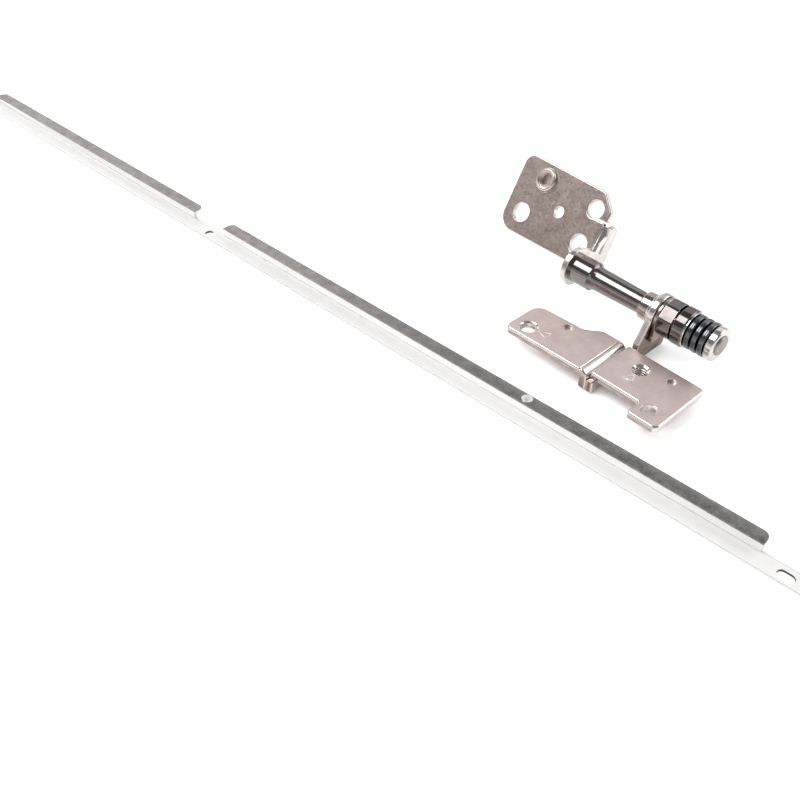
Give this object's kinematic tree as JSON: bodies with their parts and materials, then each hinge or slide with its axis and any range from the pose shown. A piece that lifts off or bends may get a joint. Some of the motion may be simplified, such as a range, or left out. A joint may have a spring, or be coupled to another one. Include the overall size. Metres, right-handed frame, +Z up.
{
  "type": "laptop hinge with display rail",
  "caption": "Friction hinge for a laptop display: stamped base and lid brackets joined by a turned shaft with cams and disc springs, with a long thin folded rail beside it.",
  "frame": {"origin": "centre of the screw hole in the base's front tab, at the underside of the wing", "axes": "+X along the hinge axis towards the spring end, +Y towards the back of the laptop, +Z up out of the base wings"},
  "size_m": [0.2166, 0.0573, 0.0172],
  "materials": {
    "base_nickel": "satin nickel plate, warm grey",
    "lid_nickel": "mottled nickel plate, darker grey",
    "black_nickel": "polished black nickel",
    "bright_nickel": "bright nickel plate",
    "spring_black": "blackened spring steel",
    "rail_zinc": "mottled zinc plate"
  },
  "bodies": {
    "base": {"base_bracket_right": "base_nickel", "base_bracket_left": "base_nickel", "friction_plate": "bright_nickel", "fixed_cam": "black_nickel", "display_rail": "rail_zinc"},
    "lid": {"hinge_shaft": "black_nickel", "lid_bracket": "lid_nickel", "collar_washer": "bright_nickel", "moving_cam": "black_nickel", "thrust_washer": "bright_nickel", "end_nut": "bright_nickel", "disc_spring_1": "spring_black", "disc_spring_2": "spring_black", "disc_spring_3": "spring_black", "disc_spring_4": "spring_black", "disc_spring_5": "spring_black", "disc_spring_6": "spring_black"}
  },
  "joints": [
    {"name": "lid_hinge", "type": "hinge", "parent": "base", "child": "lid", "pos_m": [-0.0119, 0.0171, 0.0049], "axis": [1, 0, 0], "range_deg": [-13.8, 121.2]}
  ]
}
